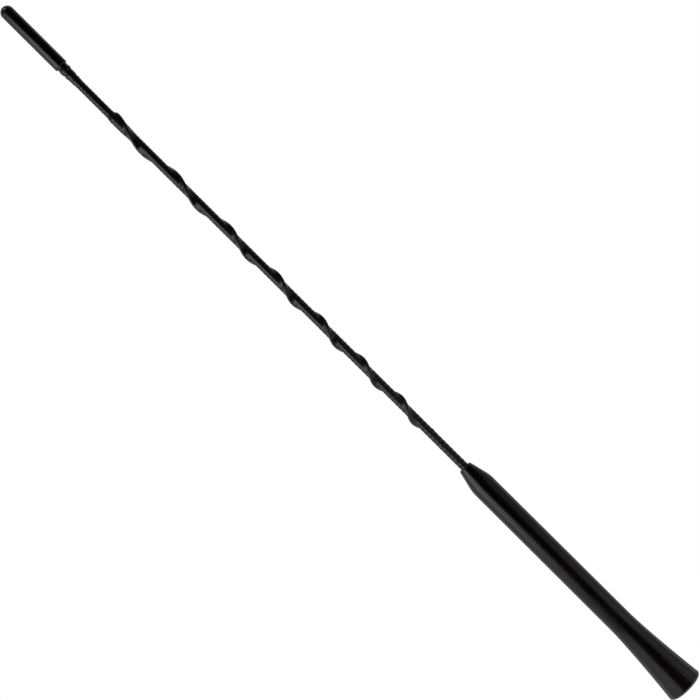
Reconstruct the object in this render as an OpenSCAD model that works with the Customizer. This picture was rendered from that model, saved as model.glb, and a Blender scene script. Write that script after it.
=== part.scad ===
// Car mast aerial: a helically wound whip under a ridged sleeve, with a moulded cap and handle.
// The frame stands the mast up: +Z runs to the tip, and z = 0 is the seating rim of the handle.

/* [Mast] */
// Height of the tip above the seating rim
mast_len = 410; // [380:1:440]
// Radial room between pieces that sit in one another
fit = 0.02; // [0.01:0.005:0.04]

/* [Tip cap] */
// Diameter of the moulded cap
cap_d = 6.1; // [5.8:0.1:7]
// Length of the cap, dome included
cap_len = 35.4; // [30:0.2:42]
// Rounding of the cap's lower edge
cap_edge_r = 0.35; // [0.1:0.05:0.45]
// Depth of the socket that takes the end of the sleeve
cap_socket_depth = 2.2; // [1:0.1:4]
// How far the winding runs up inside the cap
cap_winding_depth = 12; // [6:0.5:16]
// How far the rod runs up inside the cap
cap_rod_depth = 27; // [18:0.5:28]

/* [Rod and winding] */
// Diameter of the glass fibre rod
rod_d = 2.7; // [2.4:0.05:2.8]
// Diameter of the enamelled wire
wire_d = 0.25; // [0.2:0.01:0.32]
// Varnish film between the turns
varnish = 0.08; // [0.05:0.01:0.15]
// Spacing of the turns at the handle
turn_pitch_base = 2.5; // [1.6:0.05:3]
// Spacing of the turns at the tip
turn_pitch_tip = 1.86; // [1:0.02:2]

/* [Sleeve] */
// Wall of the shrunk sleeve
sleeve_wall = 0.24; // [0.18:0.01:0.3]
// Room between the winding and the sleeve
sleeve_room = 0.06; // [0.05:0.01:0.1]
// Swelling where the sleeve meets the cap
collar_swell = 0.48; // [0.3:0.01:0.6]
// Length over which that swelling runs out
collar_len = 11; // [8:0.5:16]
// Height of the first of the rings in the swelling
collar_ring_h = 0.32; // [0.1:0.01:0.4]
// Spacing of the rings
collar_ring_pitch = 3.1; // [2.6:0.1:3.4]

/* [Wind noise cord] */
// Diameter of the cord under the sleeve
cord_d = 0.95; // [0.8:0.05:1.3]
// Room between the cord and what it lies against
cord_room = 0.06; // [0.05:0.01:0.1]
// Distance of the cord's upper end below the tip
cord_from_tip = 66.8; // [55:0.5:80]
// Height of the cord's lower end above the handle
cord_above_grip = 24; // [20:0.2:40]
// Rise of one turn of the cord at its upper end
cord_pitch_top = 38.5; // [30:0.25:42]
// Rise of one turn of the cord at its lower end
cord_pitch_low = 21.7; // [18:0.25:28]
// Length of the sleeve's step over the upper end of the cord
cord_step_len = 2.2; // [1.5:0.1:4]
// Length over which the ridge fades below the cord
cord_fade_len = 4.8; // [3:0.1:8]
// Swelling all round where the cord starts
cord_start_swell = 0.34; // [0.2:0.01:0.6]
// Length over which that swelling runs out
cord_start_len = 10.5; // [5:0.5:14]

/* [Handle] */
// Length of the handle above its seating rim
grip_len = 132.6; // [118:0.1:145]
// Diameter of the barrel at its top
grip_d_top = 10.7; // [9.8:0.1:11.4]
// Diameter of the barrel where the flare starts
grip_d_low = 10.9; // [10:0.1:11.6]
// Diameter of the nose that the whip leaves
nose_d = 5.9; // [5.4:0.1:7]
// Length of the cone from the barrel to the nose
nose_len = 9.8; // [7:0.1:14]
// Rounding of the nose's edge
nose_edge_r = 0.45; // [0.2:0.05:0.5]
// Rounding between the cone and the barrel
shoulder_r = 15; // [8:0.5:20]
// Height at which the flare starts
flare_len = 38.5; // [30:0.5:48]
// How sharply the flare opens towards the rim
flare_power = 1.38; // [1.1:0.01:1.7]
// Diameter of the seating rim
rim_d = 17; // [16.2:0.1:18]
// Outer rounding of the rim
rim_edge_r = 1.05; // [0.5:0.05:1.1]
// Wall of the handle at its mouth
rim_wall = 1.7; // [1.6:0.05:2]
// Inner chamfer of the mouth
mouth_chamfer = 0.35; // [0.1:0.05:0.4]
// Depth of the cup round the stud
cup_depth = 9; // [8:0.1:12]
// Diameter of the cup at its floor
cup_floor_d = 9.4; // [8.4:0.1:10]
// Rounding of the cup's floor
cup_floor_r = 0.8; // [0.3:0.05:1]

/* [Stud ferrule] */
// Outer diameter of the mounting thread
stud_d = 5; // [4:0.1:5.2]
// Length of the stud from its end to the collar
stud_len = 7.8; // [7:0.1:9]
// How far the stud stands out of the rim
stud_proud = 1; // [0.4:0.1:2]
// Chamfer of the stud's end
stud_chamfer = 0.5; // [0.2:0.05:0.7]
// Width of the relief between the thread and the collar
relief_w = 0.6; // [0.4:0.05:1]
// Depth of that relief
relief_depth = 0.45; // [0.2:0.05:0.6]
// Diameter of the collar and the ferrule's body
ferrule_d = 6.6; // [6.2:0.1:7.2]
// Height of the raised washer face on the collar
washer_face_h = 0.3; // [0.1:0.05:0.5]
// Width of the step round the washer face
washer_face_step = 0.45; // [0.2:0.05:0.6]
// Chamfer of the collar
collar_chamfer = 0.25; // [0.1:0.05:0.4]
// Length of the collar below the first retaining groove
collar_h = 5.2; // [3.5:0.1:6]
// Width of a retaining groove
groove_w = 1.6; // [1:0.1:2.2]
// Depth of a retaining groove
groove_depth = 0.6; // [0.3:0.05:0.8]
// Distance between retaining grooves
groove_pitch = 3.4; // [2.8:0.1:4]
// Number of retaining grooves
groove_count = 3; // [2:1:4]
// Length of the ferrule above its collar face
ferrule_len = 26; // [24:0.5:34]
// Diameter of the ferrule's nose
ferrule_nose_d = 4.4; // [4:0.1:5]
// Length of the taper to that nose
ferrule_nose_len = 4; // [2:0.1:6]
// Depth of the socket crimped on the rod
rod_socket_depth = 18; // [12:0.5:18]
// Height of the solder fillet
solder_h = 1.6; // [1:0.1:2.4]
// Width of the solder's upper edge
solder_edge = 0.25; // [0.15:0.05:0.4]

/* [Smoothness] */
// Rings of the sleeve and cord in one turn
rings_per_turn = 16; // [12:1:20]
// Steps over the ridge
ridge_steps = 6; // [6:2:12]
// Steps round the plain side of the sleeve
back_steps = 11; // [10:1:16]
// Sides of the cord
cord_sides = 8; // [8:1:12]
// Steps of a rounded outline
arc_steps = 6; // [4:1:12]
// Steps of the flare
flare_steps = 12; // [8:1:24]

/* [Hidden] */
$fn = 96;

rod_r = rod_d / 2;
film_r = rod_r + fit;
winding_r = film_r + wire_d;
bore_r = winding_r + sleeve_room;
sleeve_r = bore_r + sleeve_wall;

cap_z = mast_len - cap_len;
sleeve_top = cap_z + cap_socket_depth;
winding_top = cap_z + cap_winding_depth;
rod_top = cap_z + cap_rod_depth;
sleeve_end_r = sleeve_r + collar_swell;

cord_top = mast_len - cord_from_tip;
cord_low = grip_len + cord_above_grip;
cord_r = cord_d / 2;
cord_path_r = winding_r + cord_room + cord_r;
groove_r = cord_r + cord_room;
ridge_r = groove_r + sleeve_wall;
cord_law = turn_law(cord_pitch_top, cord_pitch_low, cord_top - cord_low);

collar_z = stud_len - stud_proud;
ferrule_r = ferrule_d / 2;
ferrule_top = collar_z + ferrule_len;
socket_floor = ferrule_top - rod_socket_depth;
solder_top = ferrule_top + solder_h;
sleeve_low = solder_top + fit;
winding_law = turn_law(turn_pitch_base, turn_pitch_tip, winding_top - ferrule_top);

rim_r = rim_d / 2;
mouth_r = rim_r - rim_wall;
barrel_r = grip_d_low / 2;
nose_r = nose_d / 2;
// Outlines cut from a solid start this far outside it
over = 1;

function unit(v) = v / norm(v);
function flat(lists) = [for (list = lists) for (item = list) item];

// A law of turns: how many there are in a millimetre at the start, and half of how fast that grows
function turn_law(first_pitch, last_pitch, span) =
    [1 / first_pitch, (1 / last_pitch - 1 / first_pitch) / (2 * span)];
function turns_over(height, law) = height * (law[0] + law[1] * height);
function climb(turns, law) =
    abs(law[1]) < 1e-9 ? turns / law[0]
    : (sqrt(law[0] * law[0] + 4 * law[1] * turns) - law[0]) / (2 * law[1]);

// The two tangent points and the centre of a rounding at corner b of a, b, c
function rounding(a, b, c, r) =
    let (
        back = unit(a - b),
        ahead = unit(c - b),
        half = acos(back * ahead) / 2,
        leg = r / tan(half)
    )
    [b + back * leg, b + ahead * leg, b + unit(back + ahead) * r / sin(half)];

// Points of a rounding, from its first tangent point to its second
function rounded(a, b, c, r, steps) =
    let (
        t = rounding(a, b, c, r),
        from = t[0] - t[2],
        to = t[1] - t[2],
        start = atan2(from[1], from[0]),
        turn = atan2(to[1], to[0]) - start,
        sweep = turn > 180 ? turn - 360 : turn < -180 ? turn + 360 : turn
    )
    [for (i = [0 : steps]) t[2] + r * [cos(start + sweep * i / steps), sin(start + sweep * i / steps)]];

// Half of the axial section of each turned or moulded piece, revolved about the mast
module turned() {
    rotate_extrude() children();
}

// The cap: a plastic rod with a domed top, bored in steps for the sleeve, the winding and the rod
module tip_cap() {
    r = cap_d / 2;
    edge = rounding([0, cap_z], [r, cap_z], [r, mast_len], cap_edge_r);
    color("#2c2c2e") turned() difference() {
        union() {
            polygon([[0, cap_z], edge[0], edge[1], [r, mast_len - r], [0, mast_len - r]]);
            translate(edge[2]) circle(cap_edge_r);
            intersection() {
                translate([0, mast_len - r]) circle(r);
                translate([0, mast_len - r]) square(r);
            }
        }
        translate([-over, cap_z - over]) square([over + sleeve_end_r + fit, over + cap_socket_depth + fit]);
        translate([-over, cap_z]) square([over + winding_r + fit, cap_winding_depth + fit]);
        translate([-over, cap_z]) square([over + rod_r + fit, cap_rod_depth + fit]);
    }
}

// Outer radius of the sleeve without its ridge
function ring_bump(below, centre) =
    let (x = abs(below - centre) / (collar_ring_pitch / 2)) x < 1 ? (1 + cos(180 * x)) / 2 : 0;
function collar_grow(below) =
    below <= 0 ? collar_swell
    : below >= collar_len ? 0
    : collar_swell * (1 - below / collar_len)
        + collar_ring_h * (ring_bump(below, 0.8 * collar_ring_pitch)
        + ring_bump(below, 1.8 * collar_ring_pitch) / 2
        + ring_bump(below, 2.8 * collar_ring_pitch) / 4);
function start_grow(z) =
    z > cord_top ? cord_start_swell * ease((cord_top + cord_step_len - z) / cord_step_len)
    : cord_start_swell * max(0, 1 - pow((cord_top - z) / cord_start_len, 3));
function ease(x) = x <= 0 ? 0 : x >= 1 ? 1 : x * x * (3 - 2 * x);
function plain_r(z) = sleeve_r + collar_grow(cap_z - z) + start_grow(z);

// How far the sleeve has risen over the cord, 0 away from it and 1 along it
function ridge_share(z) =
    z > cord_top ? ease((cord_top + cord_step_len - z) / cord_step_len)
    : z < cord_low ? ease((z - cord_low + cord_fade_len) / cord_fade_len)
    : 1;
// Angle of the cord about the mast: a right-hand helix that starts at +X at its upper end
function cord_angle(z) = -360 * turns_over(cord_top - z, cord_law);
function cord_height(turns) = cord_top - climb(turns, cord_law);
// How much wider than high a level cut through the cord is, because the cord leans as it climbs
function cord_stretch(z) =
    let (pitch = 1 / (cord_law[0] + 2 * cord_law[1] * (cord_top - z)))
    1 / cos(atan(2 * PI * cord_path_r / pitch));

// Direction of the line that touches a round core and an oval beside it, seen from the core's centre
function touching(core, bump, stretch) =
    let (
        excess = pow(bump, 2) * (pow(stretch, 2) - 1),
        square = pow(cord_path_r, 2) + excess,
        rest = pow(core, 2) - pow(bump * stretch, 2),
        cosine = (core * cord_path_r - sqrt(pow(core * cord_path_r, 2) - square * rest)) / square
    )
    acos(cosine);

// The sleeve meets the core this many degrees past its last point over the cord
tuck = 3;

// Section of a sleeve drawn tight over a round core and the leaning cord beside it
function sleeve_ring(z, core, bump, share) =
    let (
        level = min(max(z, cord_low - cord_fade_len), cord_top + cord_step_len),
        turn = cord_angle(level),
        stretch = cord_stretch(level),
        line = touching(core, bump, stretch),
        reach = atan2(stretch * sin(line), cos(line)),
        r = core + share * (bump - core),
        away = share * cord_path_r,
        widened = 1 + share * (stretch - 1),
        round_back = 360 - 2 * (reach + tuck)
    )
    concat(
        [for (j = [0 : ridge_steps])
            let (
                a = -reach + 2 * reach * j / ridge_steps,
                out = away + r * cos(a),
                side = widened * r * sin(a)
            )
            [out * cos(turn) - side * sin(turn), out * sin(turn) + side * cos(turn), z]],
        [for (j = [0 : back_steps])
            let (a = turn + reach + tuck + round_back * j / back_steps)
            [core * cos(a), core * sin(a), z]]
    );

turns_low = turns_over(cord_top - cord_low, cord_law);
turns_fade = turns_over(cord_top - cord_low + cord_fade_len, cord_law);
turns_step = turns_over(-cord_step_len, cord_law);
cord_rings = ceil(turns_low * rings_per_turn);
fade_rings = ceil((turns_fade - turns_low) * rings_per_turn);
step_rings = 4;
// Heights of the rings from the bottom up: the fade, the cord's own length, then the step at its top
fade_zs = [for (i = [0 : fade_rings - 1]) cord_height(turns_fade + (turns_low - turns_fade) * i / fade_rings)];
cord_zs = [for (i = [0 : cord_rings]) cord_height(turns_low * (1 - i / cord_rings))];
step_zs = [for (i = [1 : step_rings]) cord_height(turns_step * i / step_rings)];
collar_rings = 22;
collar_zs = [for (i = [0 : collar_rings]) cap_z - collar_len * (1 - i / collar_rings)];

// Triangles between one ring of points and the next, seen from outside or from inside
function skin(rings, count, first, inward) =
    [for (i = [0 : rings - 2], j = [0 : count - 1])
        let (
            a = first + i * count + j,
            b = first + i * count + (j + 1) % count,
            c = a + count,
            d = b + count
        )
        for (face = inward ? [[a, b, c], [b, d, c]] : [[a, c, b], [b, c, d]]) face];
function annulus(outer, inner, count, up) =
    [for (j = [0 : count - 1])
        let (a = outer + j, b = outer + (j + 1) % count, c = inner + j, d = inner + (j + 1) % count)
        for (face = up ? [[a, c, b], [b, c, d]] : [[a, b, c], [b, d, c]]) face];

// The sleeve: shrunk over the winding and the cord, so that the cord stands up as a spiral ridge
module shrink_sleeve() {
    inner_zs = concat([sleeve_low], fade_zs, cord_zs, step_zs, [sleeve_top]);
    outer_zs = concat([sleeve_low], fade_zs, cord_zs, step_zs, collar_zs, [sleeve_top]);
    inner = [for (z = inner_zs) sleeve_ring(z, bore_r, groove_r, ridge_share(z))];
    outer = [for (z = outer_zs) sleeve_ring(z, plain_r(z), ridge_r, ridge_share(z))];
    count = len(outer[0]);
    first_inner = len(outer) * count;
    last_outer = (len(outer) - 1) * count;
    last_inner = first_inner + (len(inner) - 1) * count;
    color("#232325") polyhedron(
        points = concat(flat(outer), flat(inner)),
        faces = concat(
            skin(len(outer), count, 0, false),
            skin(len(inner), count, first_inner, true),
            annulus(0, first_inner, count, false),
            annulus(last_outer, last_inner, count, true)
        ),
        convexity = 10
    );
}

// The cord: a nylon line wound round the whip at a pitch that opens towards the tip
module noise_cord() {
    rings = [for (z = cord_zs)
        let (
            turn = cord_angle(z),
            stretch = cord_stretch(z)
        )
        [for (j = [0 : cord_sides - 1])
            let (
                a = 360 * j / cord_sides,
                out = cord_path_r + cord_r * cos(a),
                side = cord_r * sin(a) * stretch
            )
            [out * cos(turn) - side * sin(turn), out * sin(turn) + side * cos(turn), z]]];
    last = (len(rings) - 1) * cord_sides;
    color("#3a3a3c") polyhedron(
        points = flat(rings),
        faces = concat(
            skin(len(rings), cord_sides, 0, false),
            [[for (j = [0 : cord_sides - 1]) j]],
            [[for (j = [cord_sides - 1 : -1 : 0]) last + j]]
        ),
        convexity = 10
    );
}

// The winding: enamelled wire set in varnish, its turns closing up towards the tip
module aerial_winding() {
    turns = floor(turns_over(winding_top - ferrule_top, winding_law));
    valley_r = film_r + varnish;
    // Each turn is a ring with the wire's crest, and with varnish run up its sides
    wires = flat([for (i = [0 : turns - 1])
        let (z = ferrule_top + climb(i + 0.5, winding_law))
        [
            [valley_r, z - wire_d], [winding_r, z - wire_d / 3],
            [winding_r, z + wire_d / 3], [valley_r, z + wire_d],
        ]]);
    color("#8a4a24") turned() polygon(concat(
        [[film_r, ferrule_top], [valley_r, ferrule_top]],
        wires,
        [[valley_r, winding_top], [film_r, winding_top]]
    ));
}

// The rod: glass fibre, crimped in the ferrule and glued in the cap
module glass_fibre_rod() {
    ends = rod_r / 5;
    low = socket_floor + fit;
    color("#d8cfae") turned() polygon([
        [0, low], [rod_r - ends, low], [rod_r, low + ends],
        [rod_r, rod_top - ends], [rod_r - ends, rod_top], [0, rod_top],
    ]);
}

// Section of the solder fillet between the ferrule's nose and the first turns
function solder_outline(inner, grow) = [
    [inner, ferrule_top],
    [ferrule_nose_d / 2 + grow, ferrule_top],
    [winding_r + fit + solder_edge + grow, solder_top + grow],
    [inner, solder_top + grow],
];

// The solder that joins the winding to the ferrule
module solder_joint() {
    color("#b9bcc2") turned() polygon(solder_outline(winding_r + fit, 0));
}

// Section of the ferrule from its collar up, drawn larger by a clearance for the pocket round it
function ferrule_body(grow) =
    let (
        r = ferrule_r + grow,
        waist = r - groove_depth,
        first = collar_z + collar_h,
        crimped = ferrule_top - ferrule_nose_len
    )
    concat(
        [[0, collar_z - grow], [r - collar_chamfer, collar_z - grow], [r, collar_z + collar_chamfer - grow]],
        flat([for (i = [0 : groove_count - 1])
            let (low = first + i * groove_pitch + grow, high = low + groove_w - 2 * grow)
            [[r, low], [waist, low], [waist, high], [r, high]]]),
        [[r, crimped], [ferrule_nose_d / 2 + grow, ferrule_top], [0, ferrule_top]]
    );

// The ferrule: one turned piece with the mounting thread, its collar, and the socket for the rod
module stud_ferrule() {
    r = stud_d / 2;
    face_r = ferrule_r - washer_face_step;
    color("#c9ccd1") turned() difference() {
        union() {
            polygon(ferrule_body(0));
            polygon([
                [0, -stud_proud], [r - stud_chamfer, -stud_proud], [r, stud_chamfer - stud_proud],
                [r, collar_z - washer_face_h - relief_w], [r - relief_depth, collar_z - washer_face_h - relief_w],
                [r - relief_depth, collar_z - washer_face_h], [face_r, collar_z - washer_face_h],
                [face_r, collar_z + over], [0, collar_z + over],
            ]);
        }
        translate([-over, socket_floor]) square([over + rod_r + fit, rod_socket_depth + over]);
    }
}

// Outside of the handle from the rim up: the flare, the barrel, the cone and the nose
function flare_r(z) = barrel_r + (rim_r - barrel_r) * pow(max(0, 1 - z / flare_len), flare_power);
flare = [for (i = [0 : flare_steps]) let (z = flare_len * i / flare_steps) [flare_r(z), z]];
rim_round = rounding([0, 0], flare[0], flare[1], rim_edge_r);
barrel_top = [grip_d_top / 2, grip_len - nose_len];
nose_tip = [nose_r, grip_len];
shoulder = rounded([barrel_r, flare_len], barrel_top, nose_tip, shoulder_r, arc_steps);
nose_round = rounding(barrel_top, nose_tip, [0, grip_len], nose_edge_r);

module grip_outside() {
    polygon(concat(
        [[0, 0], rim_round[0], rim_round[1]],
        [for (i = [1 : flare_steps]) flare[i]],
        shoulder,
        [nose_round[0], nose_round[1], [0, grip_len]]
    ));
    translate(rim_round[2]) circle(rim_edge_r);
    translate(nose_round[2]) circle(nose_edge_r);
}

// The cup that clears the boss on the car, with its chamfered mouth and rounded floor
module cup() {
    floor_r = cup_floor_d / 2;
    corner = rounding([mouth_r, mouth_chamfer], [floor_r, cup_depth], [0, cup_depth], cup_floor_r);
    polygon([
        [0, -over], [mouth_r + mouth_chamfer + over, -over], [mouth_r, mouth_chamfer],
        corner[0], corner[1], [0, cup_depth],
    ]);
    translate(corner[2]) circle(cup_floor_r);
}

// The handle: moulded over the ferrule and the foot of the whip, and open below as a cup
module grip() {
    color("#2a2a2c") turned() difference() {
        grip_outside();
        cup();
        polygon(ferrule_body(fit));
        polygon(solder_outline(0, fit));
        square([sleeve_r + fit, grip_len + over]);
    }
}

tip_cap();
shrink_sleeve();
noise_cord();
aerial_winding();
glass_fibre_rod();
solder_joint();
stud_ferrule();
grip();
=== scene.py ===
"""Looks of a car mast aerial: the fine shape and the finish of every piece, the studio and the camera."""
import logging
import math
from dataclasses import dataclass, field
from enum import Enum
from typing import Any, Sequence

import bpy
import numpy as np
from mathutils import Matrix, Vector


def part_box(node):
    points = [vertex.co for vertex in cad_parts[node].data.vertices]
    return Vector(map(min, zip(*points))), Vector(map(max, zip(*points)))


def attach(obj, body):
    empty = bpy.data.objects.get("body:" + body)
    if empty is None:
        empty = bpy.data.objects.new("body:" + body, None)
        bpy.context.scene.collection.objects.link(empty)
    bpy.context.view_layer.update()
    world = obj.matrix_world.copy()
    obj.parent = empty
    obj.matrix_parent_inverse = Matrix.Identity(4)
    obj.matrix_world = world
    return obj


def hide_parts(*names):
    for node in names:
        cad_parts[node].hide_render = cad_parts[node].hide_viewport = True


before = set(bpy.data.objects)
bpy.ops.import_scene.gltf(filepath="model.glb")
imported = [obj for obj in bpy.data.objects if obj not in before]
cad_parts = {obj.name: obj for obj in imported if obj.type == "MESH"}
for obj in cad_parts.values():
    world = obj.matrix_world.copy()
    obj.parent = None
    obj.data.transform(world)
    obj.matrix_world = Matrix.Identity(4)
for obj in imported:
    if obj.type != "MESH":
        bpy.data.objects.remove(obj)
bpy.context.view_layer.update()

LOG = logging.getLogger("mast_aerial")
MM = 0.001
TAU = 2 * math.pi
ROOT = "root"

# Sockets of Blender's Mix node when it mixes colours
MIX_FACTOR, MIX_A, MIX_B = 0, 6, 7
MIX_COLOUR = 2
# Noise keeps mostly between these two values
NOISE_LOW, NOISE_HIGH = 0.3, 0.7
# Millimetres from the mast's axis under which a ring is a point
ON_AXIS = 1e-6

Outline = list[tuple[float, float]]


class Slot(Enum):
    """The record's material slots."""

    CAP = "cap_plastic"
    SLEEVE = "sleeve_plastic"
    CORD = "nylon_line"
    WIRE = "enamelled_copper"
    ROD = "glass_fibre"
    SOLDER = "solder"
    STUD = "nickel_plate"
    GRIP = "grip_plastic"


def linear(hex_code: str) -> tuple[float, float, float, float]:
    """Turns an sRGB hex colour into the linear one that a shader takes.

    Args:
        hex_code: The colour, as #rrggbb.

    Returns:
        Red, green and blue, with a full alpha.
    """
    shares = [int(hex_code[i:i + 2], 16) / 255 for i in (1, 3, 5)]
    red, green, blue = (c / 12.92 if c <= 0.04045 else ((c + 0.055) / 1.055) ** 2.4 for c in shares)
    return red, green, blue, 1.0


def add_node(
    tree: bpy.types.NodeTree,
    kind: str,
    settings: dict[str, Any] | None = None,
    inputs: dict[str | int, Any] | None = None,
) -> bpy.types.Node:
    """Adds a node, with its settings, its values and its links.

    Args:
        tree: The node tree that it joins.
        kind: The node's type.
        settings: Properties of the node.
        inputs: For each input socket a value, or the output socket that feeds it.

    Returns:
        The new node.
    """
    node = tree.nodes.new(kind)
    for key, value in (settings or {}).items():
        setattr(node, key, value)
    for socket, value in (inputs or {}).items():
        if isinstance(value, bpy.types.NodeSocket):
            tree.links.new(value, node.inputs[socket])
        else:
            node.inputs[socket].default_value = value
    return node


def per_metre(size_mm: float) -> float:
    """Scale of a texture whose features are as large as this size in millimetres."""
    return 1 / (size_mm * MM)


@dataclass(frozen=True)
class Pattern:
    """Noise with a real size in millimetres, which may be drawn out along the mast."""

    size_mm: float
    stretch: float = 1.0
    detail: float = 3.0

    def add(self, tree: bpy.types.NodeTree) -> bpy.types.NodeSocket:
        """Adds the pattern to a shader.

        Args:
            tree: The shader's nodes.

        Returns:
            The socket of the pattern's value.
        """
        place = add_node(tree, "ShaderNodeTexCoord").outputs["Object"]
        drawn = add_node(tree, "ShaderNodeMapping", inputs={
            "Vector": place, "Scale": (1.0, 1.0, 1 / self.stretch),
        })
        return add_node(tree, "ShaderNodeTexNoise", inputs={
            "Vector": drawn.outputs["Vector"], "Scale": per_metre(self.size_mm), "Detail": self.detail,
        }).outputs["Fac"]


@dataclass(frozen=True)
class Finish:
    """One real material with one way its surface was made: patches of shade and gloss over a fine relief."""

    shades: tuple[str, str]
    roughness: tuple[float, float]
    patches: Pattern
    relief: Pattern
    relief_mm: float
    ior: float | None = None
    metallic: float = 0.0
    coat: float = 0.0
    coat_roughness: float = 0.03

    def spread(self, tree: bpy.types.NodeTree) -> bpy.types.NodeSocket:
        """Adds what the shade and the gloss follow, from 0 to 1."""
        return add_node(tree, "ShaderNodeMapRange", inputs={
            "Value": self.patches.add(tree), "From Min": NOISE_LOW, "From Max": NOISE_HIGH,
        }).outputs["Result"]

    def height(self, tree: bpy.types.NodeTree) -> bpy.types.NodeSocket:
        """Adds the height of the fine relief, from 0 to 1."""
        return self.relief.add(tree)

    def material(self) -> bpy.types.Material:
        """Makes the finish into a material.

        Returns:
            The material, named after the finish's class.
        """
        made = bpy.data.materials.new(type(self).__name__)
        made.use_nodes = True
        tree = made.node_tree
        tree.nodes.clear()
        share = self.spread(tree)
        shade = add_node(tree, "ShaderNodeMix", {"data_type": "RGBA"}, {
            MIX_FACTOR: share, MIX_A: linear(self.shades[0]), MIX_B: linear(self.shades[1]),
        })
        gloss = add_node(tree, "ShaderNodeMapRange", inputs={
            "Value": share, "To Min": self.roughness[0], "To Max": self.roughness[1],
        })
        bump = add_node(tree, "ShaderNodeBump", inputs={
            "Height": self.height(tree), "Strength": 1.0, "Distance": self.relief_mm * MM,
        })
        surface = add_node(tree, "ShaderNodeBsdfPrincipled", inputs={
            "Base Color": shade.outputs[MIX_COLOUR], "Roughness": gloss.outputs["Result"],
            "Normal": bump.outputs["Normal"], "Metallic": self.metallic,
            "Coat Weight": self.coat, "Coat Roughness": self.coat_roughness,
        })
        if self.ior:
            surface.inputs["IOR"].default_value = self.ior
        add_node(tree, "ShaderNodeOutputMaterial", inputs={"Surface": surface.outputs["BSDF"]})
        return made


@dataclass(frozen=True)
class SparkErodedRubber(Finish):
    """Black thermoplastic rubber from a spark-eroded mould.

    The eye sees a soft, even sheen with a fine grain and cloudy changes of gloss, and no sharp highlight.
    """

    shades: tuple[str, str] = ("#060204", "#0a0307")
    roughness: tuple[float, float] = (0.22, 0.28)
    patches: Pattern = Pattern(7.0, stretch=2.0)
    # The true grain is about 0.1 mm, too fine for the render, so it is drawn three times as coarse
    relief: Pattern = Pattern(0.32, detail=2.0)
    relief_mm: float = 0.0018
    ior: float | None = 1.5


@dataclass(frozen=True)
class PolishedVinyl(Finish):
    """Black vinyl (PVC) from a polished mould.

    The eye sees a clearer highlight than on the handle, broken only by faint flow marks along the cap.
    """

    shades: tuple[str, str] = ("#050305", "#080507")
    roughness: tuple[float, float] = (0.20, 0.26)
    patches: Pattern = Pattern(1.2, stretch=8.0)
    relief: Pattern = Pattern(0.9, stretch=9.0)
    relief_mm: float = 0.004
    ior: float | None = 1.53


@dataclass(frozen=True)
class ShrunkPolyolefin(Finish):
    """Black polyolefin tube, extruded and then shrunk with hot air.

    The eye sees a satin skin with fine lines along the tube and duller patches. It is greyer and duller
    towards the handle.
    """

    shades: tuple[str, str] = ("#080506", "#221c1e")
    roughness: tuple[float, float] = (0.23, 0.38)
    patches: Pattern = Pattern(3.0, detail=4.0)
    # The extrusion lines are finer than a pixel, so they are drawn about twice as wide
    relief: Pattern = Pattern(0.4, stretch=12.0, detail=2.0)
    relief_mm: float = 0.008
    ior: float | None = 1.51
    # The sleeve takes the lighter shade and the higher roughness below the first height, fading to its plain
    # look above the second
    grey_below_mm: float = 150.0
    plain_above_mm: float = 260.0
    grey_share: float = 0.65
    plain_share: float = 0.1
    patchiness: float = 0.35

    def spread(self, tree: bpy.types.NodeTree) -> bpy.types.NodeSocket:
        """Adds how grey and dull the sleeve is: most towards the handle, fading out up the whip, broken up
        by the patches.

        Args:
            tree: The shader's nodes.

        Returns:
            The socket of the greying, from 0 to 1.
        """
        place = add_node(tree, "ShaderNodeTexCoord").outputs["Object"]
        height = add_node(tree, "ShaderNodeSeparateXYZ", inputs={"Vector": place}).outputs["Z"]
        greying = add_node(tree, "ShaderNodeMapRange", {"interpolation_type": "SMOOTHSTEP"}, {
            "Value": height, "From Min": self.grey_below_mm * MM, "From Max": self.plain_above_mm * MM,
            "To Min": self.grey_share, "To Max": self.plain_share,
        }).outputs["Result"]
        return add_node(tree, "ShaderNodeMath", {"operation": "MULTIPLY_ADD", "use_clamp": True}, {
            0: super().spread(tree), 1: self.patchiness, 2: greying,
        }).outputs["Value"]


@dataclass(frozen=True)
class DrawnNylon(Finish):
    """Black nylon line, drawn through a die.

    The eye sees a smooth dark line with a bright sheen and faint draw marks.
    """

    shades: tuple[str, str] = ("#28282a", "#343437")
    roughness: tuple[float, float] = (0.18, 0.26)
    patches: Pattern = Pattern(0.8, stretch=5.0)
    relief: Pattern = Pattern(0.2, stretch=10.0, detail=2.0)
    relief_mm: float = 0.003
    ior: float | None = 1.53


@dataclass(frozen=True)
class PultrudedGlassFibre(Finish):
    """Glass fibre rod, pulled through a heated die.

    The eye sees a pale straw colour with fine bright fibres along the rod under a semi-matt resin.
    """

    shades: tuple[str, str] = ("#cdbf93", "#e8dfc2")
    roughness: tuple[float, float] = (0.4, 0.5)
    patches: Pattern = Pattern(0.25, stretch=100.0)
    relief: Pattern = Pattern(0.12, stretch=100.0)
    relief_mm: float = 0.008
    ior: float | None = 1.52


@dataclass(frozen=True)
class VarnishedCopperWire(Finish):
    """Copper wire in red enamel, set in clear varnish.

    The eye sees copper through a glossy coat that has gathered in darker pools.
    """

    shades: tuple[str, str] = ("#b4643a", "#6e3418")
    roughness: tuple[float, float] = (0.25, 0.35)
    patches: Pattern = Pattern(1.5, detail=4.0)
    relief: Pattern = Pattern(0.5)
    relief_mm: float = 0.01
    metallic: float = 1.0
    coat: float = 1.0
    coat_roughness: float = 0.12


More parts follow.
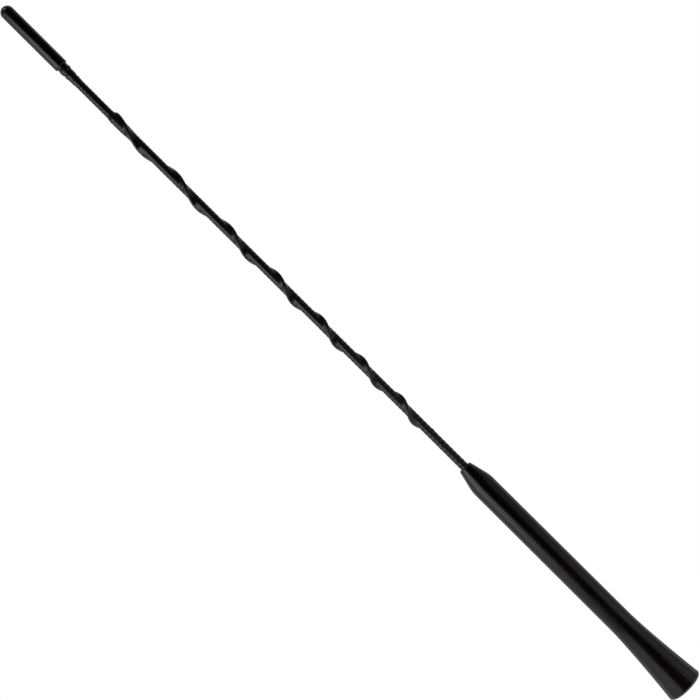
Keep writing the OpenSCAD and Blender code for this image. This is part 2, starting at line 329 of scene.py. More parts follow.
@dataclass(frozen=True)
class FrozenSolder(Finish):
    """Tin solder that froze in the air.

    The eye sees a dull silver with small crystals that each catch the light a little differently.
    """

    shades: tuple[str, str] = ("#c3c6cb", "#8f9297")
    roughness: tuple[float, float] = (0.32, 0.55)
    patches: Pattern = Pattern(0.3)
    relief: Pattern = Pattern(0.15)
    relief_mm: float = 0.008
    metallic: float = 1.0

    def spread(self, tree: bpy.types.NodeTree) -> bpy.types.NodeSocket:
        """Gives each crystal one shade and one gloss.

        Args:
            tree: The shader's nodes.

        Returns:
            The socket of each crystal's value, from 0 to 1.
        """
        place = add_node(tree, "ShaderNodeTexCoord").outputs["Object"]
        cells = add_node(tree, "ShaderNodeTexVoronoi", inputs={
            "Vector": place, "Scale": per_metre(self.patches.size_mm),
        })
        return add_node(tree, "ShaderNodeSeparateColor", inputs={
            "Color": cells.outputs["Color"],
        }).outputs["Red"]


@dataclass(frozen=True)
class NickelPlatedBrass(Finish):
    """Turned brass with a bright nickel plate.

    The eye sees a warm silver mirror, softened by the rings that the turning tool left round the axis.
    """

    shades: tuple[str, str] = ("#dcdad5", "#bdb9b1")
    roughness: tuple[float, float] = (0.07, 0.15)
    patches: Pattern = Pattern(1.6)
    # The tool's feed is about 0.08 mm, drawn twice as wide so that it shows
    relief: Pattern = Pattern(0.16)
    relief_mm: float = 0.0012
    metallic: float = 1.0

    def height(self, tree: bpy.types.NodeTree) -> bpy.types.NodeSocket:
        """Adds the tool's rings, which follow both the distance from the axis and the height.

        Args:
            tree: The shader's nodes.

        Returns:
            The socket of the rings' height, from -1 to 1.
        """
        place = add_node(tree, "ShaderNodeTexCoord").outputs["Object"]
        across = add_node(tree, "ShaderNodeVectorMath", {"operation": "MULTIPLY"}, {
            0: place, 1: (1.0, 1.0, 0.0),
        })
        radius = add_node(tree, "ShaderNodeVectorMath", {"operation": "LENGTH"}, {
            0: across.outputs["Vector"],
        })
        height = add_node(tree, "ShaderNodeSeparateXYZ", inputs={"Vector": place}).outputs["Z"]
        travel = add_node(tree, "ShaderNodeMath", {"operation": "ADD"}, {
            0: radius.outputs["Value"], 1: height,
        })
        turned = add_node(tree, "ShaderNodeMath", {"operation": "MULTIPLY"}, {
            0: travel.outputs["Value"], 1: TAU * per_metre(self.relief.size_mm),
        })
        return add_node(tree, "ShaderNodeMath", {"operation": "SINE"}, {
            0: turned.outputs["Value"],
        }).outputs["Value"]


@dataclass
class RingSolid:
    """A closed surface laid through rings of points, in millimetres.

    Its outside lies to the right of the outline that the rings follow: outward where they climb, and below
    where they widen. A ring of one point closes an end, and a looped solid joins its last ring to its first.
    """

    looped: bool = False
    rings: list[np.ndarray] = field(default_factory=list)

    def turn(self, outline: Outline, sides: int) -> "RingSolid":
        """Adds the rings of an outline that is turned about the mast.

        Args:
            outline: Its points, each a radius and a height.
            sides: How many points a ring has.

        Returns:
            This solid.
        """
        angles = np.arange(sides) * TAU / sides
        for radius, height in outline:
            count = sides if radius > ON_AXIS else 1
            self.rings.append(np.stack([
                radius * np.cos(angles), radius * np.sin(angles), np.full(sides, height),
            ], axis=1)[:count])
        return self

    def faces(self, first: int) -> list[list[int]]:
        """Lists the faces between the rings.

        Args:
            first: Index of the solid's first point.

        Returns:
            The faces, as lists of point indices.
        """
        starts = (first + np.cumsum([0] + [len(ring) for ring in self.rings])).tolist()
        last = len(self.rings) if self.looped else len(self.rings) - 1
        found = []
        for i in range(last):
            k = (i + 1) % len(self.rings)
            a, b, low, high = starts[i], starts[k], len(self.rings[i]), len(self.rings[k])
            for j in range(max(low, high)):
                n = (j + 1) % max(low, high)
                if low == 1:
                    found.append([a, b + n, b + j])
                elif high == 1:
                    found.append([a + j, a + n, b])
                else:
                    found.append([a + j, a + n, b + n, b + j])
        return found


def mesh_object(name: str, solids: Sequence[RingSolid], crease: float = 32.0) -> bpy.types.Object:
    """Makes one smooth-shaded object of one or more ring solids.

    Args:
        name: The object's name.
        solids: The solids, which stay separate shells of one mesh.
        crease: Edges that turn by more than these degrees stay sharp.

    Returns:
        The new object, in metres.
    """
    points, faces = [], []
    for solid in solids:
        faces += solid.faces(len(points))
        points += (np.concatenate(solid.rings) * MM).tolist()
    mesh = bpy.data.meshes.new(name)
    mesh.from_pydata(points, [], faces)
    mesh.shade_smooth()
    mesh.set_sharp_from_angle(angle=math.radians(crease))
    made = bpy.data.objects.new(name, mesh)
    bpy.context.scene.collection.objects.link(made)
    return made


def dress(piece: bpy.types.Object, finish: Finish) -> None:
    """Gives a piece one finish all over.

    Args:
        piece: A new piece, or a node of the frame.
        finish: Its finish.
    """
    piece.data.materials.clear()
    piece.data.materials.append(finish.material())
    LOG.info("%s: %s, %d faces", piece.name, type(finish).__name__, len(piece.data.polygons))


def stand_in(piece: bpy.types.Object, node: str) -> None:
    """Shows a piece in place of a node of the frame, on the mast's one body."""
    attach(piece, ROOT)
    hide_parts(node)


def arc(a: Sequence[float], b: Sequence[float], c: Sequence[float], r: float, steps: int) -> Outline:
    """Rounds the corner b of the path a, b, c.

    Args:
        a: The point before the corner.
        b: The corner.
        c: The point after the corner.
        r: Radius of the rounding.
        steps: How many steps the arc has.

    Returns:
        The arc's points, from its first tangent point to its second.
    """
    corner = Vector(b)
    back, ahead = (Vector(a) - corner).normalized(), (Vector(c) - corner).normalized()
    half = back.angle(ahead) / 2
    centre = corner + (back + ahead).normalized() * r / math.sin(half)
    start, end = (corner + way * r / math.tan(half) - centre for way in (back, ahead))
    first = math.atan2(start.y, start.x)
    sweep = (math.atan2(end.y, end.x) - first + math.pi) % TAU - math.pi
    angles = [first + sweep * i / steps for i in range(steps + 1)]
    return [(centre.x + r * math.cos(t), centre.y + r * math.sin(t)) for t in angles]


def broken_edges(
    outline: Outline, r: float, least: float = 25.0, share: float = 0.4, steps: int = 2,
) -> Outline:
    """Rounds each corner of an outline a little, as a tool or a mould leaves it.

    Args:
        outline: The points, the first and last of which stay.
        r: Radius of the rounding, less where a side is short.
        least: Corners that turn by fewer degrees stay.
        share: How much of a short side a rounding may take.
        steps: How many steps a rounding has.

    Returns:
        The longer outline.
    """
    softened = [outline[0]]
    for a, b, c in zip(outline, outline[1:], outline[2:]):
        back, ahead = Vector(a) - Vector(b), Vector(c) - Vector(b)
        turn = math.pi - back.angle(ahead)
        if math.degrees(turn) < least:
            softened.append(b)
        else:
            leg = min(r * math.tan(turn / 2), share * back.length, share * ahead.length)
            softened += arc(a, b, c, leg / math.tan(turn / 2), steps)
    return softened + [outline[-1]]


def ease(x: np.ndarray) -> np.ndarray:
    """Smooth step from 0 to 1."""
    x = np.clip(x, 0, 1)
    return x * x * (3 - 2 * x)


@dataclass(frozen=True)
class TurnLaw:
    """Turns round the mast that get closer evenly, from a first pitch to a last one over a span."""

    first_pitch: float
    last_pitch: float
    span: float

    @property
    def start(self) -> float:
        """Turns in a millimetre where they begin."""
        return 1 / self.first_pitch

    @property
    def growth(self) -> float:
        """Half of what each millimetre adds to the turns in a millimetre."""
        return (1 / self.last_pitch - self.start) / (2 * self.span)

    def turns(self, height: np.ndarray) -> np.ndarray:
        """Turns passed within a height in millimetres."""
        return height * (self.start + self.growth * height)

    def climb(self, turns: np.ndarray) -> np.ndarray:
        """Height passed in a number of turns."""
        return (np.sqrt(self.start ** 2 + 4 * self.growth * turns) - self.start) / (2 * self.growth)

    def pitch(self, height: np.ndarray) -> np.ndarray:
        """Rise of one turn at a height."""
        return 1 / (self.start + 2 * self.growth * height)


@dataclass
class Extent:
    """Where a node of the frame lies, in millimetres."""

    node: str

    def __post_init__(self) -> None:
        """Reads the node's box from the frame."""
        low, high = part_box(self.node)
        self.low: float = low.z / MM
        self.high: float = high.z / MM
        self.radius: float = high.x / MM


@dataclass
class Cap:
    """The moulded cap: a plastic rod with a domed top, bored in steps for the sleeve and the rod."""

    edge_r: float = 0.35
    socket_r: float = 2.42
    socket_depth: float = 2.22
    winding_bore_r: float = 1.64
    rod_bore_r: float = 1.37
    end_room: float = 0.02
    edge_steps: int = 6
    dome_steps: int = 20
    sides: int = 96

    def outline(self) -> Outline:
        """Draws the section of the cap.

        Returns:
            Its points, from the end of its bore down to its edge and up over the dome.
        """
        cap = Extent("tip_cap")
        r, low, high = cap.radius, cap.low, cap.high
        socket = low + self.socket_depth
        step = Extent("aerial_winding").high + self.end_room
        end = Extent("glass_fibre_rod").high + self.end_room
        bores = [
            (0.0, end), (self.rod_bore_r, end), (self.rod_bore_r, step), (self.winding_bore_r, step),
            (self.winding_bore_r, socket), (self.socket_r, socket), (self.socket_r, low),
        ]
        tilts = [math.pi / 2 * i / self.dome_steps for i in range(self.dome_steps + 1)]
        dome = [(r * math.cos(t), high - r + r * math.sin(t)) for t in tilts]
        return bores + arc((0, low), (r, low), (r, high), self.edge_r, self.edge_steps) + dome

    def build(self) -> None:
        """Turns the cap and dresses it."""
        piece = mesh_object("domed_cap", [RingSolid().turn(self.outline(), self.sides)])
        dress(piece, PolishedVinyl())
        stand_in(piece, "tip_cap")


@dataclass
class Whip:
    """What lies between the handle and the cap: rod, winding, cord, and the sleeve shrunk over them."""

    wire_pitch_low: float = 2.5
    wire_pitch_top: float = 1.86
    wire_path_r: float = 1.495
    wire_r: float = 0.125
    wire_sides: int = 6
    wire_steps: int = 20
    film_r: float = 1.37
    film: float = 0.08
    film_sides: int = 48
    cord_pitch_top: float = 38.5
    cord_pitch_low: float = 21.7
    cord_path_r: float = 2.155
    cord_r: float = 0.475
    cord_sides: int = 14
    cord_steps: int = 40
    bore_r: float = 1.68
    groove_r: float = 0.535
    wall: float = 0.24
    step_len: float = 2.2
    fade_len: float = 4.8
    start_swell: float = 0.34
    start_len: float = 10.5
    collar_swell: float = 0.48
    collar_len: float = 11.0
    ring_h: float = 0.32
    ring_pitch: float = 3.1
    # Each ring of the collar: how many ring pitches it lies below the cap, and its share of ring_h
    collar_rings: tuple[tuple[float, float], ...] = ((0.8, 1.0), (1.8, 0.5), (2.8, 0.25))
    tuck: float = math.radians(3)
    ripple_low: float = 0.1
    ripple_top: float = 0.08
    ripple_sharpness: float = 1.5
    ripple_mean: float = 0.45
    # The ripples start below the nose and end inside the cap, and fade over this length at both ends
    ripple_fade: float = 0.8
    below_nose: float = 0.6
    inside_cap: float = 0.4
    # How much of a ripple the cord hides
    cord_hides: float = 0.75
    # The sleeve's rings are finer where it shows, from a little below the nose
    ring_gap: float = 0.25
    hidden_gap: float = 2.0
    fine_below_nose: float = 1.0
    over_cord: int = 19
    behind: int = 29
    crease: float = 60.0

    def __post_init__(self) -> None:
        """Reads where the whip's nodes lie, and sets the laws of the cord's and the wire's turns."""
        self.cord = Extent("noise_cord")
        self.winding = Extent("aerial_winding")
        self.sleeve = Extent("shrink_sleeve")
        self.cap_low = Extent("tip_cap").low
        self.nose = Extent("grip").high
        self.wire_start = self.winding.low + self.wire_r
        drop = self.cord.high - self.cord.low
        self.cord_law = TurnLaw(self.cord_pitch_top, self.cord_pitch_low, drop)
        rise = self.winding.high - self.winding.low
        self.wire_law = TurnLaw(self.wire_pitch_low, self.wire_pitch_top, rise)

    def drop(self, z: np.ndarray) -> np.ndarray:
        """How far each height lies below the cord's upper end, no further out than the ridge is drawn."""
        return self.cord.high - np.clip(z, self.cord.low - self.fade_len, self.cord.high + self.step_len)

    def cord_angle(self, z: np.ndarray) -> np.ndarray:
        """Angle of the cord at each height: a right-hand helix that starts at +X at its upper end."""
        return -TAU * self.cord_law.turns(self.drop(z))

    def cord_stretch(self, z: np.ndarray) -> np.ndarray:
        """How much wider than high a level cut through the leaning cord is at each height."""
        return np.hypot(1, TAU * self.cord_path_r / self.cord_law.pitch(self.drop(z)))

    def ridge_share(self, z: np.ndarray) -> np.ndarray:
        """Says how far the sleeve has risen over the cord.

        Args:
            z: The heights.

        Returns:
            A share for each height, from 0 to 1.
        """
        step = ease((self.cord.high + self.step_len - z) / self.step_len)
        fade = ease((z - self.cord.low + self.fade_len) / self.fade_len)
        return np.minimum(step, fade)

    def collar_grow(self, z: np.ndarray) -> np.ndarray:
        """Swells the sleeve where it enters the cap, with the rings there.

        Args:
            z: The heights.

        Returns:
            What the radius gains at each height.
        """
        below = self.cap_low - z
        swell = self.collar_swell * np.clip(1 - below / self.collar_len, 0, 1)
        for number, share in self.collar_rings:
            x = np.clip(np.abs(below / self.ring_pitch - number) * 2, 0, 1)
            swell = swell + self.ring_h * share * (1 + np.cos(math.pi * x)) / 2
        return swell

    def start_grow(self, z: np.ndarray) -> np.ndarray:
        """Swells the sleeve all round where the cord starts.

        Args:
            z: The heights.

        Returns:
            What the radius gains at each height.
        """
        above = ease((self.cord.high + self.step_len - z) / self.step_len)
        under = 1 - np.clip((self.cord.high - z) / self.start_len, 0, 1) ** 3
        return self.start_swell * np.where(z > self.cord.high, above, under)

    def ripple(self, z: np.ndarray, angle: np.ndarray) -> np.ndarray:
        """Rise of the sleeve over the turns of the wire, from 0 between them to 1 on them."""
        turns = self.wire_law.turns(z - self.wire_start) - angle / TAU
        return ((1 + np.cos(TAU * turns)) / 2) ** self.ripple_sharpness

    def touching(self, core: np.ndarray, bump: float, stretch: np.ndarray) -> np.ndarray:
        """Direction from the axis to where a line touches the round core and the oval beside it.

        Args:
            core: Radius over the core.
            bump: Radius over the cord.
            stretch: How much wider than high the cord's section is.

        Returns:
            The angles off the cord's own direction.
        """
        pull, square = core * self.cord_path_r, self.cord_path_r ** 2 + bump ** 2 * (stretch ** 2 - 1)
        rest = core ** 2 - (bump * stretch) ** 2
        return np.arccos((pull - np.sqrt(pull ** 2 - square * rest)) / square)

    def skin(self, z: np.ndarray, core: np.ndarray, bump: float) -> np.ndarray:
        """Rings of a sleeve drawn tight over a round core and the cord beside it.

        Args:
            z: Height of each ring.
            core: Radius over the core at each ring.
            bump: Radius over the cord.

        Returns:
            Points by ring and by place round it.
        """
        z, core = z[:, None], core[:, None]
        share, turn, stretch = self.ridge_share(z), self.cord_angle(z), self.cord_stretch(z)
        line = self.touching(core, bump, stretch)
        reach = np.arctan2(stretch * np.sin(line), np.cos(line))
        over = reach * np.linspace(-1, 1, self.over_cord)
        radius = core + share * (bump - core)
        out = share * self.cord_path_r + radius * np.cos(over)
        side = (1 + share * (stretch - 1)) * radius * np.sin(over)
        rest = TAU - 2 * (reach + self.tuck)
        back = turn + reach + self.tuck + rest * np.linspace(0, 1, self.behind)
        x = np.hstack([out * np.cos(turn) - side * np.sin(turn), core * np.cos(back)])
        y = np.hstack([out * np.sin(turn) + side * np.cos(turn), core * np.sin(back)])
        return np.stack([x, y, np.broadcast_to(z, x.shape)], axis=2)

    def rippled(self, rings: np.ndarray, core: np.ndarray) -> np.ndarray:
        """Presses the turns of the wire into the outside of the sleeve.

        Args:
            rings: Points by ring and by place round it.
            core: Radius over the core at each ring.

        Returns:
            The points, moved out or in by a few hundredths of a millimetre.
        """
        x, y, z = (rings[:, :, i] for i in range(3))
        radius, angle = np.hypot(x, y), np.arctan2(y, x)
        on_core = 1 - self.cord_hides * ease((radius - core[:, None]) / self.cord_r)
        height = np.clip((z - self.nose) / (self.cap_low - self.nose), 0, 1)
        depth = self.ripple_low + (self.ripple_top - self.ripple_low) * height
        out_of_nose = ease((z - self.nose + self.below_nose) / self.ripple_fade)
        out_of_cap = ease((self.cap_low + self.inside_cap - z) / self.ripple_fade)
        depth = depth * (out_of_nose * out_of_cap) * on_core
        grown = radius + depth * (self.ripple(z, angle) - self.ripple_mean)
        return np.stack([grown * np.cos(angle), grown * np.sin(angle), z], axis=2)

    def heights(self, gap: float, low: float, high: float) -> np.ndarray:
        """Evenly spaced heights, no further apart than a gap, both ends included."""
        return np.linspace(low, high, math.ceil((high - low) / gap) + 1)

    def build_sleeve(self) -> None:
        """Builds the sleeve as a closed tube, fine outside where it shows and coarser inside."""
        shown_from = self.nose - self.fine_below_nose
        hidden = self.heights(self.hidden_gap, self.sleeve.low, shown_from)
        z = np.concatenate([hidden[:-1], self.heights(self.ring_gap, shown_from, self.sleeve.high)])
        core = self.bore_r + self.wall + self.collar_grow(z) + self.start_grow(z)
        outer = self.rippled(self.skin(z, core, self.groove_r + self.wall), core)
        z = self.heights(self.hidden_gap, self.sleeve.low, self.sleeve.high)[::-1]
        inner = self.skin(z, np.full(len(z), self.bore_r), self.groove_r)
        tube = RingSolid(looped=True, rings=[*outer, *inner])
        piece = mesh_object("ridged_sleeve", [tube], crease=self.crease)
        dress(piece, ShrunkPolyolefin())
        stand_in(piece, "shrink_sleeve")

    def swept(self, turn: np.ndarray, z: np.ndarray, path_r: float, r: float, sides: int) -> RingSolid:
        """Sweeps a round line along a helix that climbs.

        Args:
            turn: Angle about the mast at each step.
            z: Height at each step.
            path_r: Distance of the line's centre from the axis.
            r: Radius of the line.
            sides: Sides of its section.

        Returns:
            The line as a closed solid.
        """
        centres = np.stack([path_r * np.cos(turn), path_r * np.sin(turn), z], axis=1)
        out = np.stack([np.cos(turn), np.sin(turn), np.zeros_like(turn)], axis=1)
        along = np.gradient(centres, axis=0)
        side = np.cross(along / np.linalg.norm(along, axis=1, keepdims=True), out)
        around = (np.arange(sides) * TAU / sides)[None, :, None]
        tube = centres[:, None] + r * (np.cos(around) * out[:, None] + np.sin(around) * side[:, None])
        return RingSolid(rings=[centres[:1], *tube, centres[-1:]])

    def build_winding(self) -> None:
        """Builds the enamelled wire as a true helix, with the varnish film that it lies in."""
        low, high, film_r = self.winding.low, self.winding.high, self.film_r + self.film
        last = self.wire_law.turns(np.array(high - self.wire_r - self.wire_start))
        turns = np.linspace(0, last, math.ceil(last * self.wire_steps))
        climb = self.wire_start + self.wire_law.climb(turns)
        wire = self.swept(TAU * turns, climb, self.wire_path_r, self.wire_r, self.wire_sides)
        section = [(self.film_r, low), (film_r, low), (film_r, high), (self.film_r, high)]
        film = RingSolid(looped=True).turn(section, self.film_sides)
        piece = mesh_object("wire_helix", [film, wire])
        dress(piece, VarnishedCopperWire())
        stand_in(piece, "aerial_winding")

    def build_cord(self) -> None:
        """Builds the nylon line that makes the ridge."""
        last = self.cord_law.turns(np.array(self.cord.high - self.cord.low))
        turns = np.linspace(last, 0, math.ceil(last * self.cord_steps))
        z = self.cord.high - self.cord_law.climb(turns)
        line = self.swept(-TAU * turns, z, self.cord_path_r, self.cord_r, self.cord_sides)
        piece = mesh_object("nylon_cord", [line])
        dress(piece, DrawnNylon())
        stand_in(piece, "noise_cord")

    def build(self) -> None:
        """Builds the whip from the inside out."""
        dress(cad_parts["glass_fibre_rod"], PultrudedGlassFibre())
        dress(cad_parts["solder_joint"], FrozenSolder())
        self.build_winding()
        self.build_cord()
        self.build_sleeve()


@dataclass(frozen=True)
class Thread:
    """A right-hand metric outer thread, M5 x 0.8, with the crest and root that rolling leaves."""

    radius: float = 2.5
    pitch: float = 0.8
    depth_in_pitches: float = 0.6134
    crest_in_pitches: float = 0.125
    root_in_pitches: float = 0.25
    # Under 1 the rounding of a flank reaches a little into the crest and the root
    steepness: float = 0.9

    def surface(self, z: float, angles: np.ndarray) -> np.ndarray:
        """Draws the thread round its axis.

        Args:
            z: A height.
            angles: The angles about the axis.

        Returns:
            Radius of the thread at each angle.
        """
        from_crest = np.abs((z / self.pitch - angles / TAU + 0.5) % 1 - 0.5)
        flank = 0.5 - (self.crest_in_pitches + self.root_in_pitches) / 2
        return self.radius - self.depth_in_pitches * self.pitch * ease(
            0.5 + self.steepness * ((from_crest - self.crest_in_pitches / 2) / flank - 0.5)
        )


@dataclass
class Ferrule:
    """The turned ferrule: the mounting thread, its collar, retaining grooves and the rod's socket."""

    stud_len: float = 7.8
    end_chamfer: float = 0.5
    relief_w: float = 0.6
    relief_depth: float = 0.45
    washer_face_h: float = 0.3
    washer_face_step: float = 0.45
    collar_chamfer: float = 0.25
    collar_h: float = 5.2
    groove_w: float = 1.6
    groove_depth: float = 0.6
    groove_pitch: float = 3.4
    groove_count: int = 3
    nose_r: float = 2.2
    nose_len: float = 4.0
    socket_r: float = 1.37
    socket_depth: float = 18.0
    edge: float = 0.05
    sides: int = 96
    rings_per_pitch: int = 16
    thread: Thread = Thread()

    def __post_init__(self) -> None:
        """Reads where the ferrule lies."""
        self.span = Extent("stud_ferrule")
        self.collar_z = self.span.low + self.stud_len

    def grooved(self, room: float) -> Outline:
        """Outline of the body from its first groove to its nose.

        Args:
            room: How far the outline stands off the metal.

        Returns:
            Its points, upwards.
        """
        r = self.span.radius + room
        waist, points = r - self.groove_depth, []
        for i in range(self.groove_count):
            low = self.collar_z + self.collar_h + i * self.groove_pitch + room
            high = low + self.groove_w - 2 * room
            points += [(r, low), (waist, low), (waist, high), (r, high)]
        return points + [(r, self.span.high - self.nose_len), (self.nose_r + room, self.span.high)]

    def threaded(self) -> list[np.ndarray]:
        """Cuts the thread on the stud.

        Returns:
            Its rings, from the chamfered end to the relief.
        """
        angles = np.arange(self.sides) * TAU / self.sides
        low, high = self.span.low, self.collar_z - self.washer_face_h - self.relief_w
        steps = math.ceil((high - low) / self.thread.pitch * self.rings_per_pitch)
        rings = []
        for z in np.linspace(low, high, steps + 1):
            cone = self.thread.radius - self.end_chamfer + (z - low)
            radius = np.minimum(self.thread.surface(z, angles), cone)
            level = np.full(self.sides, z)
            rings.append(np.stack([radius * np.cos(angles), radius * np.sin(angles), level], axis=1))
        return rings

    def build(self) -> None:
        """Turns the ferrule, cuts its thread and dresses it."""
        relief_r = self.thread.radius - self.relief_depth
        face_z = self.collar_z - self.washer_face_h
        face_r, body_r = self.span.radius - self.washer_face_step, self.span.radius
        high, floor = self.span.high, self.span.high - self.socket_depth
        turned = [
            (relief_r, face_z - self.relief_w), (relief_r, face_z),
            (face_r, face_z), (face_r, self.collar_z),
            (body_r - self.collar_chamfer, self.collar_z), (body_r, self.collar_z + self.collar_chamfer),
            *self.grooved(0.0), (self.socket_r, high), (self.socket_r, floor), (0.0, floor),
        ]
        solid = RingSolid().turn([(0.0, self.span.low)], self.sides)
        solid.rings += self.threaded()
        solid.turn(broken_edges(turned, self.edge), self.sides)
        piece = mesh_object("threaded_ferrule", [solid])
        dress(piece, NickelPlatedBrass())
        stand_in(piece, "stud_ferrule")


@dataclass
class Handle:
    """The moulded handle: nose, cone, barrel, flare, and the open cup round the stud."""

    barrel_top_r: float = 5.35
    barrel_low_r: float = 5.45
    nose_r: float = 2.95
    nose_len: float = 9.8
    nose_edge_r: float = 0.45
    shoulder_r: float = 15.0
    flare_len: float = 38.5
    flare_power: float = 1.38
    rim_r: float = 8.5
    rim_edge_r: float = 1.05
    rim_wall: float = 1.7
    mouth_chamfer: float = 0.35
    cup_depth: float = 9.0
    cup_floor_r: float = 4.7
    cup_corner_r: float = 0.8
    whip_bore_r: float = 1.94
    room: float = 0.02
    edge: float = 0.12
    least_corner: float = 40.0
    rim_steps: int = 10
    flare_steps: int = 48
    shoulder_steps: int = 14
    corner_steps: int = 8
    sides: int = 128
    ferrule: Ferrule = field(default_factory=Ferrule)

    def outside(self) -> Outline:
        """Draws the outside.

        Returns:
            Its points, from the rim up to the nose.
        """
        top, widening, steps = Extent("grip").high, self.rim_r - self.barrel_low_r, self.flare_steps
        flare = [
            (self.barrel_low_r + widening * (1 - i / steps) ** self.flare_power, self.flare_len * i / steps)
            for i in range(steps + 1)
        ]
        rim = arc((0, 0), flare[0], flare[2], self.rim_edge_r, self.rim_steps)
        above_rim = [point for point in flare if point[1] > rim[-1][1]]
        shoulder, nose = (self.barrel_top_r, top - self.nose_len), (self.nose_r, top)
        return [
            *rim, *above_rim, *arc(flare[-1], shoulder, nose, self.shoulder_r, self.shoulder_steps),
            *arc(shoulder, nose, (0, top), self.nose_edge_r, self.corner_steps),
        ]

    def inside(self) -> Outline:
        """Draws the bore, the ferrule's pocket and the cup.

        Returns:
            Their points, from the nose down to the mouth.
        """
        top, mouth_r = Extent("grip").high, self.rim_r - self.rim_wall
        solder_top = Extent("solder_joint").high
        pocket = self.ferrule.grooved(self.room)[::-1]
        wall_top, floor = (mouth_r, self.mouth_chamfer), (self.cup_floor_r, self.cup_depth)
        corner = arc((0, self.cup_depth), floor, wall_top, self.cup_corner_r, self.corner_steps)
        return [
            (self.whip_bore_r, top), (self.whip_bore_r, solder_top), *pocket,
            (pocket[-1][0], self.cup_depth), *corner, wall_top, (mouth_r + self.mouth_chamfer, 0.0),
        ]

    def build(self) -> None:
        """Moulds the handle and dresses it."""
        outline = broken_edges(self.outside() + self.inside(), self.edge, self.least_corner)
        piece = mesh_object("moulded_handle", [RingSolid(looped=True).turn(outline, self.sides)])
        dress(piece, SparkErodedRubber())
        stand_in(piece, "grip")


@dataclass(frozen=True)
class PhotoView:
    """The photograph's view: where the mast's two ends lie in its frame, and the lens."""

    frame_px: int = 700
    rim_px: tuple[float, float] = (685.24, 686.16)
    tip_px: tuple[float, float] = (1.96, 7.14)
    lens_mm: float = 95.0
    sensor_mm: float = 36.0
    clip_m: float = 20.0

    def build(self) -> None:
        """Sets up the camera, level with the mast's axis plane and turned about its line of sight."""
        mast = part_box("tip_cap")[1].z
        rim, tip = Vector(self.rim_px), Vector(self.tip_px)
        per_px = mast / (tip - rim).length
        along = (tip - rim).normalized()
        right_share, up_share = along.x, -along.y
        right = Vector((up_share, 0, right_share))
        up = Vector((-right_share, 0, up_share))
        back = right.cross(up)
        middle = Vector([(self.frame_px - 1) / 2] * 2) - rim
        distance = per_px * self.frame_px * self.lens_mm / self.sensor_mm
        place = (right * middle.x - up * middle.y) * per_px + back * distance
        data = bpy.data.cameras.new("photo_view")
        data.lens, data.sensor_width, data.clip_end = self.lens_mm, self.sensor_mm, self.clip_m
        camera = bpy.data.objects.new("photo_view", data)
        camera.matrix_world = Matrix((
            (right.x, up.x, back.x, place.x), (right.y, up.y, back.y, place.y),
            (right.z, up.z, back.z, place.z), (0, 0, 0, 1),
        ))
        bpy.context.scene.collection.objects.link(camera)
        bpy.context.scene.camera = camera
        LOG.info("camera %.3f m from the mast", distance)


@dataclass(frozen=True)
class WhiteFloor:
    """White card, plain and matt.

    The eye sees even white with the soft shadow of the mast, and nothing from below.
    """

    white: str = "#f7f7f7"
    glow: float = 0.64

    def material(self) -> bpy.types.Material:
        """Adds a plain glow to the lit card, for the camera and for what mirrors the card.

        Returns:
            The card's material, clear from below.
        """
        made = bpy.data.materials.new(type(self).__name__)
        made.use_nodes = True
        tree = made.node_tree
        tree.nodes.clear()
        rays = add_node(tree, "ShaderNodeLightPath").outputs
        seen = add_node(tree, "ShaderNodeMath", {"operation": "ADD"}, {
            0: rays["Is Camera Ray"], 1: rays["Is Glossy Ray"],
        })
        seen = add_node(tree, "ShaderNodeMath", {"operation": "ADD", "use_clamp": True}, {
            0: seen.outputs["Value"], 1: rays["Is Transmission Ray"],
        })
        glow = add_node(tree, "ShaderNodeMath", {"operation": "MULTIPLY"}, {
            0: seen.outputs["Value"], 1: self.glow,
        })
        card = add_node(tree, "ShaderNodeBsdfDiffuse", inputs={"Color": linear(self.white)})
        white = add_node(tree, "ShaderNodeEmission", inputs={
            "Color": linear(self.white), "Strength": glow.outputs["Value"],
        })
        lit = add_node(tree, "ShaderNodeAddShader", inputs={
            0: card.outputs["BSDF"], 1: white.outputs["Emission"],
        })
        below = add_node(tree, "ShaderNodeNewGeometry").outputs["Backfacing"]
        clear = add_node(tree, "ShaderNodeBsdfTransparent")
        surface = add_node(tree, "ShaderNodeMixShader", inputs={
            0: below, 1: lit.outputs["Shader"], 2: clear.outputs["BSDF"],
        })
        add_node(tree, "ShaderNodeOutputMaterial", inputs={"Surface": surface.outputs["Shader"]})
        return made


@dataclass(frozen=True)
class Softbox:
    """One rectangular lamp that looks at the mast."""

    name: str
    place: tuple[float, float, float]
    target: tuple[float, float, float]
    size: tuple[float, float]
    radiance: float

    def build(self) -> None:
        """Hangs the lamp, which lights and is mirrored but doesn't stand in the picture."""
        data = bpy.data.lights.new(self.name, "AREA")
        data.shape = "RECTANGLE"
        data.size, data.size_y = self.size
        data.energy = self.radiance * math.pi * self.size[0] * self.size[1]
        lamp = bpy.data.objects.new(self.name, data)
        lamp.location = self.place
        lamp.rotation_euler = (Vector(self.target) - lamp.location).to_track_quat("-Z", "Y").to_euler()
        lamp.visible_camera = False
        bpy.context.scene.collection.objects.link(lamp)


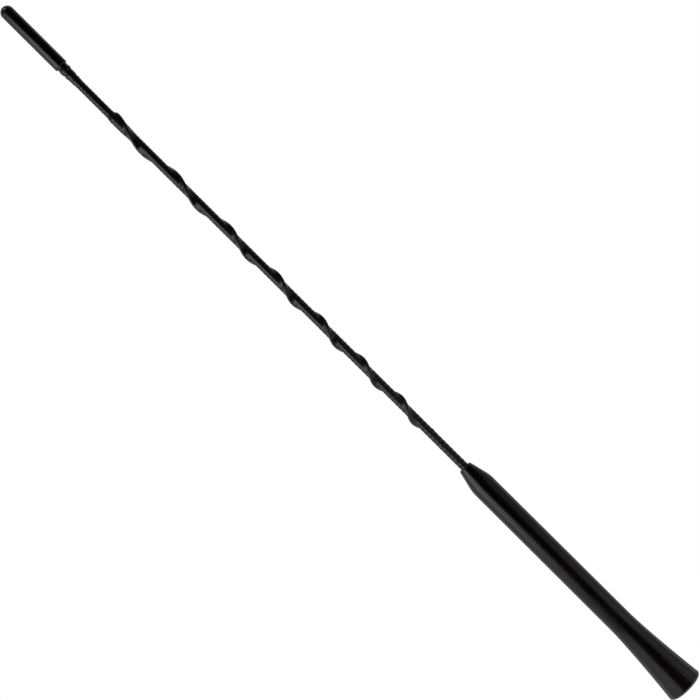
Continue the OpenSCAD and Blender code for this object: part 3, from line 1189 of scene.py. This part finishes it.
@dataclass(frozen=True)
class Studio:
    """A white studio that is dark on the camera's side.

    A softbox on the left and one overhead light the mast, and two weak cards fill its right side.
    """

    floor_z: float = -0.125
    floor_r: float = 0.4
    floor_sides: int = 128
    dark: float = 0.004
    white: float = 0.65
    # The white lies behind the mast and a little to its left
    left_pull: float = 0.3
    # It fades into the dark between minus and plus this share of the way straight back
    side_blend: float = 0.8
    # It is shaded behind the mast, more and more between these two shares of the way straight back
    shade: float = 0.7
    shade_between: tuple[float, float] = (0.6, 0.98)
    softboxes: tuple[Softbox, ...] = (
        Softbox("left_softbox", (-0.647, -0.470, 0.31), (0, 0, 0.31), (0.78, 0.66), 1.8),
        Softbox("top_softbox", (0.10, -0.35, 1.30), (0, 0, 0.15), (0.6, 0.6), 1.5),
        Softbox("right_card", (0.60, -0.28, 0.12), (0, 0, 0.12), (0.58, 0.40), 0.18),
        Softbox("low_card", (0.57, -0.33, -0.14), (0, 0, -0.02), (0.60, 0.16), 0.65),
    )

    def build_floor(self) -> None:
        """Lays the white floor, well below the stud."""
        disc = RingSolid().turn([(self.floor_r / MM, 0.0), (0.0, 0.0)], self.floor_sides)
        floor = mesh_object("floor", [disc])
        floor.location.z = self.floor_z
        floor.data.materials.append(WhiteFloor().material())

    def build_world(self) -> None:
        """Makes the surroundings: white to the camera, and a studio with one dark side to the rest."""
        world = bpy.data.worlds.new("studio")
        world.use_nodes = True
        tree = world.node_tree
        tree.nodes.clear()
        way = add_node(tree, "ShaderNodeTexCoord").outputs["Generated"]
        behind = add_node(tree, "ShaderNodeVectorMath", {"operation": "DOT_PRODUCT"}, {
            0: way, 1: (-self.left_pull, 1.0, 0.0),
        })
        level = add_node(tree, "ShaderNodeMapRange", {"interpolation_type": "SMOOTHSTEP"}, {
            "Value": behind.outputs["Value"], "From Min": -self.side_blend, "From Max": self.side_blend,
            "To Min": self.dark, "To Max": self.white,
        })
        straight = add_node(tree, "ShaderNodeSeparateXYZ", inputs={"Vector": way}).outputs["Y"]
        shade = add_node(tree, "ShaderNodeMapRange", {"interpolation_type": "SMOOTHSTEP"}, {
            "Value": straight, "From Min": self.shade_between[0], "From Max": self.shade_between[1],
            "To Min": 1.0, "To Max": 1 - self.shade,
        })
        level = add_node(tree, "ShaderNodeMath", {"operation": "MULTIPLY"}, {
            0: level.outputs["Result"], 1: shade.outputs["Result"],
        })
        rays = add_node(tree, "ShaderNodeLightPath").outputs
        seen = add_node(tree, "ShaderNodeMath", {"operation": "ADD", "use_clamp": True}, {
            0: rays["Is Camera Ray"], 1: rays["Is Transmission Ray"],
        })
        around = add_node(tree, "ShaderNodeBackground", inputs={"Strength": level.outputs["Value"]})
        white = add_node(tree, "ShaderNodeBackground", inputs={"Strength": 1.0})
        for background in (around, white):
            background.inputs["Color"].default_value = (1, 1, 1, 1)
        mixed = add_node(tree, "ShaderNodeMixShader", inputs={
            0: seen.outputs["Value"], 1: around.outputs["Background"], 2: white.outputs["Background"],
        })
        add_node(tree, "ShaderNodeOutputWorld", inputs={"Surface": mixed.outputs["Shader"]})
        bpy.context.scene.world = world

    def build(self) -> None:
        """Sets up the whole studio."""
        bpy.context.scene.view_settings.view_transform = "Standard"
        self.build_world()
        self.build_floor()
        for softbox in self.softboxes:
            softbox.build()
        LOG.info("studio with %d softboxes", len(self.softboxes))


def main() -> None:
    """Builds the view, the studio and the aerial's pieces in order."""
    logging.basicConfig(level=logging.INFO, format="%(name)s: %(message)s")
    for part in (PhotoView(), Studio(), Whip(), Cap(), Ferrule(), Handle()):
        part.build()


if __name__ == "__main__":
    main()
